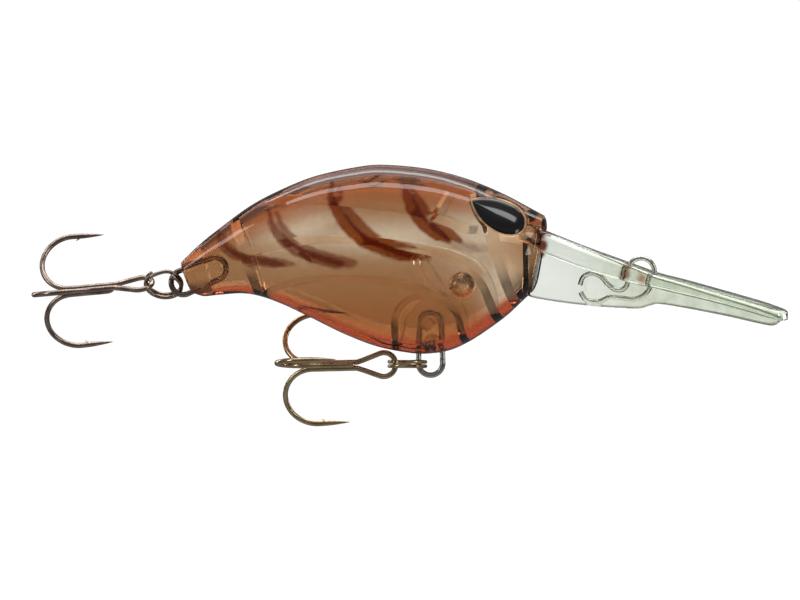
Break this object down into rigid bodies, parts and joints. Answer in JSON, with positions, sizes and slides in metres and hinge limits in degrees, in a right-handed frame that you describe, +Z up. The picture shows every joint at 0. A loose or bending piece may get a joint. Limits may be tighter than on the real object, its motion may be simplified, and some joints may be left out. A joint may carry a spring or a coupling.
{
  "type": "crankbait lure",
  "caption": "Deep-diving crankbait with a clear hollow body in two shells, a long clear diving lip, painted eyes, wire eyes, split rings and treble hooks.",
  "frame": {"origin": "centre of the line-tie eye on the lip, on the lure's middle plane", "axes": "+X forward along the lip, +Y to the lure's left, +Z up, at the lure's slightly nose-up attitude"},
  "size_m": [0.1325, 0.0214, 0.0461],
  "materials": {
    "amber_plastic": "clear amber, gloss",
    "clear_plastic": "clear, gloss",
    "steel_wire": "bright drawn wire",
    "bronze_hook": "bronzed steel",
    "black_nickel": "black nickel on steel",
    "iris_foil": "amber foil",
    "pupil_black": "gloss black",
    "weight_metal": "polished steel"
  },
  "bodies": {
    "lure_body": {"left_body_shell": "amber_plastic", "right_body_shell": "amber_plastic", "diving_lip": "clear_plastic", "line_tie_wire": "steel_wire", "belly_hanger_wire": "steel_wire", "tail_hanger_wire": "black_nickel", "left_eye_iris": "iris_foil", "right_eye_iris": "iris_foil", "left_eye_dome": "pupil_black", "right_eye_dome": "pupil_black", "belly_ballast_pin": "weight_metal"},
    "transfer_weight": {"transfer_weight_ball": "weight_metal"},
    "belly_ring": {"belly_split_ring": "bronze_hook"},
    "belly_treble": {"belly_treble_double_hook": "bronze_hook", "belly_treble_single_hook": "bronze_hook"},
    "tail_ring": {"tail_split_ring": "black_nickel"},
    "tail_treble": {"tail_treble_double_hook": "black_nickel", "tail_treble_single_hook": "black_nickel"}
  },
  "joints": [
    {"name": "weight_transfer", "type": "hinge", "parent": "lure_body", "child": "transfer_weight", "pos_m": [-0.0524, 0, -0.0474], "axis": [0, 1, 0], "range_deg": [-38.5, 0]},
    {"name": "belly_ring_swing", "type": "hinge", "parent": "lure_body", "child": "belly_ring", "pos_m": [-0.0369, 0, -0.016], "axis": [0, 1, 0], "range_deg": [-90, 0]},
    {"name": "belly_treble_swing", "type": "hinge", "parent": "belly_ring", "child": "belly_treble", "pos_m": [-0.0452, 0, -0.0163], "axis": [0.0032, 0.9925, -0.1218], "range_deg": [-70, 0]},
    {"name": "tail_ring_swing", "type": "hinge", "parent": "lure_body", "child": "tail_ring", "pos_m": [-0.0808, 0, -0.002], "axis": [0, 1, 0], "range_deg": [-35, 28]},
    {"name": "tail_treble_swing", "type": "hinge", "parent": "tail_ring", "child": "tail_treble", "pos_m": [-0.0884, 0, -0.0025], "axis": [0.0785, 0.5, -0.8625], "range_deg": [-45, 45]}
  ]
}
